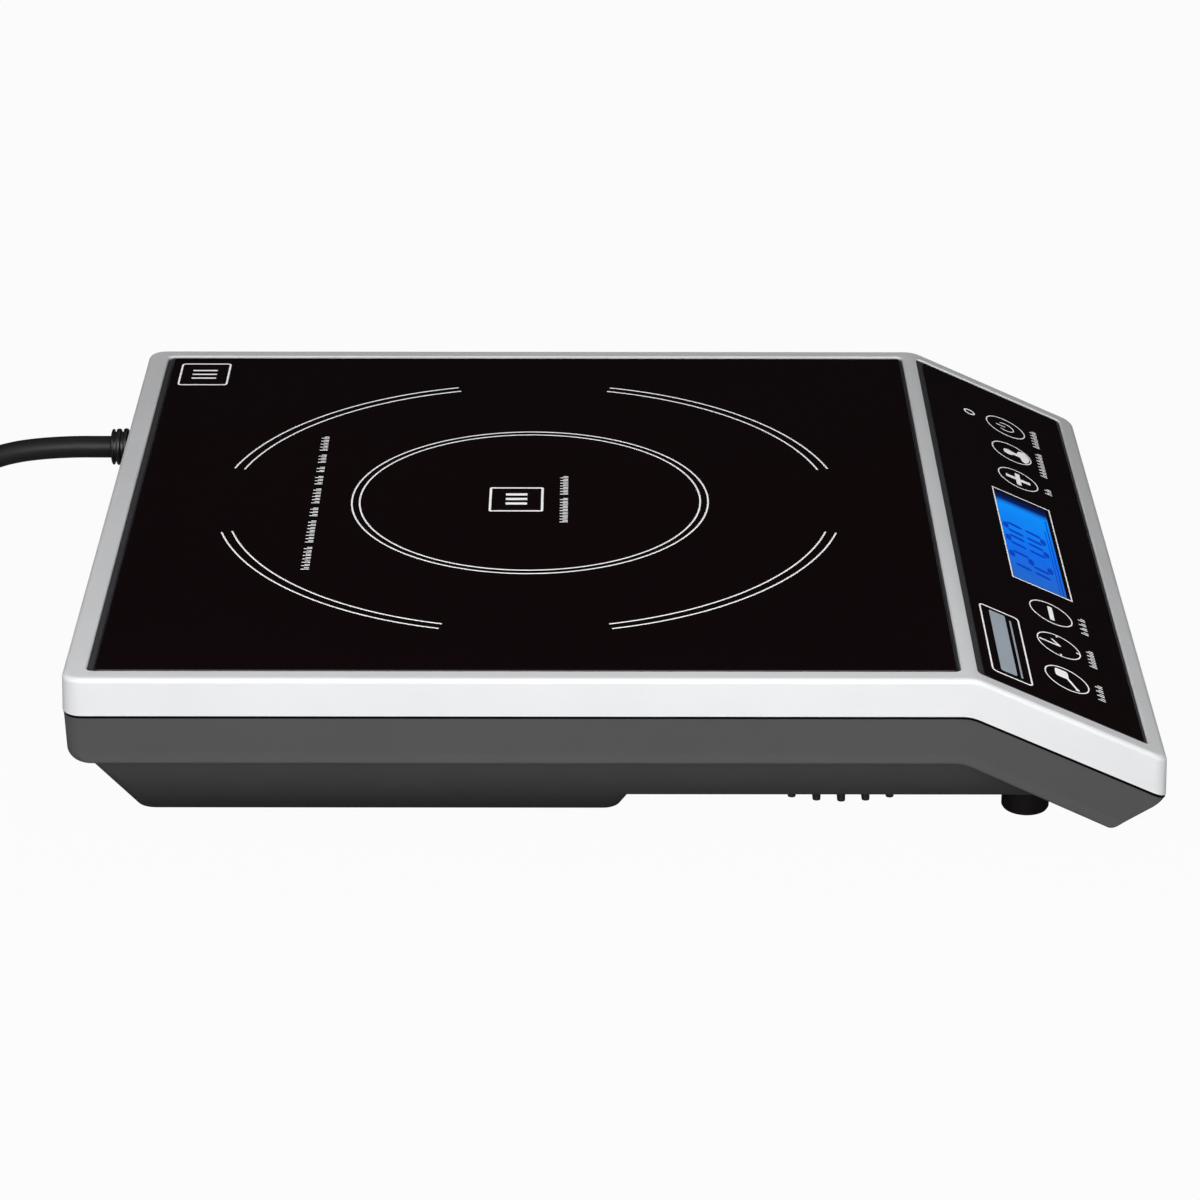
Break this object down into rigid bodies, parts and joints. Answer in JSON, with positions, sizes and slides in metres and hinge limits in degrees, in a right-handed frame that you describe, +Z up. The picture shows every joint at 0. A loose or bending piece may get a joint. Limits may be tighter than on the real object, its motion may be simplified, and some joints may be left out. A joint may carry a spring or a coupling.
{
  "type": "induction cooktop",
  "caption": "Countertop induction cooktop: black glass cooking plate in a silver frame, sloping touch panel with a lit display, dark tray base, and a mains cord coiled behind.",
  "frame": {"origin": "on the surface the cooktop stands on, under the middle of the housing's outline without its cord", "axes": "+Z up, -Y towards the user at the control panel, +X to the user's right; +Y is the rear, where the cord leaves"},
  "size_m": [0.3, 0.593, 0.0665],
  "materials": {
    "silver_frame": "silver painted, satin",
    "base_plastic": "fine moulded texture, dark grey",
    "black_plastic": "moulded, near black",
    "foot_rubber": "matt black rubber",
    "screw_steel": "zinc plated",
    "cooking_glass": "black ceramic glass, polished, printed lines",
    "panel_glass": "black printed glass, polished",
    "silicone": "dark grey silicone bead",
    "coil_copper": "enamelled copper",
    "ferrite": "sintered ferrite, matt",
    "mica": "pressed mica sheet",
    "sensor_ceramic": "white ceramic and silicone",
    "lcd_display": "blue lit liquid crystal display",
    "backlight": "light guide",
    "circuit_board": "green solder mask",
    "led_lens": "clear lens",
    "component_black": "moulded epoxy",
    "spring_steel": "bright spring steel",
    "heatsink_aluminium": "extruded aluminium",
    "capacitor_yellow": "potted film capacitor",
    "capacitor_blue": "potted film capacitor",
    "fuse_glass": "clear glass tube",
    "terminal_green": "moulded terminal block",
    "fan_plastic": "moulded fan wheel",
    "cord_rubber": "black jacket with a soft sheen",
    "tie_fabric": "woven hook-and-loop strap",
    "plug_metal": "nickel plated blades"
  },
  "bodies": {
    "housing": {"top_frame": "silver_frame", "base_shell": "base_plastic", "intake_grille": "black_plastic", "foot_1": "foot_rubber", "foot_2": "foot_rubber", "foot_3": "foot_rubber", "foot_4": "foot_rubber", "housing_screw_1": "screw_steel", "housing_screw_2": "screw_steel", "housing_screw_3": "screw_steel", "housing_screw_4": "screw_steel", "glass_plate": "cooking_glass", "glass_gasket": "silicone", "coil_carrier": "black_plastic", "coil_winding": "coil_copper", "ferrite_bar_1": "ferrite", "ferrite_bar_2": "ferrite", "ferrite_bar_3": "ferrite", "ferrite_bar_4": "ferrite", "ferrite_bar_5": "ferrite", "ferrite_bar_6": "ferrite", "mica_sheet": "mica", "thermal_sensor": "sensor_ceramic", "control_glass": "panel_glass", "control_gasket": "silicone", "lcd_module": "lcd_display", "lcd_backlight": "backlight", "control_board": "circuit_board", "panel_carrier": "black_plastic", "indicator_led": "led_lens", "buzzer": "component_black", "touch_spring_1": "spring_steel", "touch_spring_2": "spring_steel", "touch_spring_3": "spring_steel", "touch_spring_4": "spring_steel", "touch_spring_5": "spring_steel", "touch_spring_6": "spring_steel", "fan_frame": "black_plastic", "fan_stator": "coil_copper", "power_board": "circuit_board", "heatsink": "heatsink_aluminium", "igbt": "component_black", "bridge_rectifier": "component_black", "resonant_capacitor": "capacitor_yellow", "bus_capacitor": "capacitor_yellow", "filter_choke": "coil_copper", "filter_capacitor": "capacitor_blue", "fuse": "fuse_glass", "terminal_block": "terminal_green", "strain_relief": "cord_rubber", "power_cord": "cord_rubber", "cord_coil": "cord_rubber", "cord_tie": "tie_fabric", "plug_body": "cord_rubber", "plug_blade_line": "plug_metal", "plug_blade_neutral": "plug_metal", "plug_ground_pin": "plug_metal"},
    "fan_rotor": {"fan_rotor": "fan_plastic"}
  },
  "joints": [
    {"name": "fan_spin", "type": "hinge", "parent": "housing", "child": "fan_rotor", "pos_m": [-0.076, -0.0767, 0.025], "axis": [0, 0, 1], "continuous": true}
  ]
}
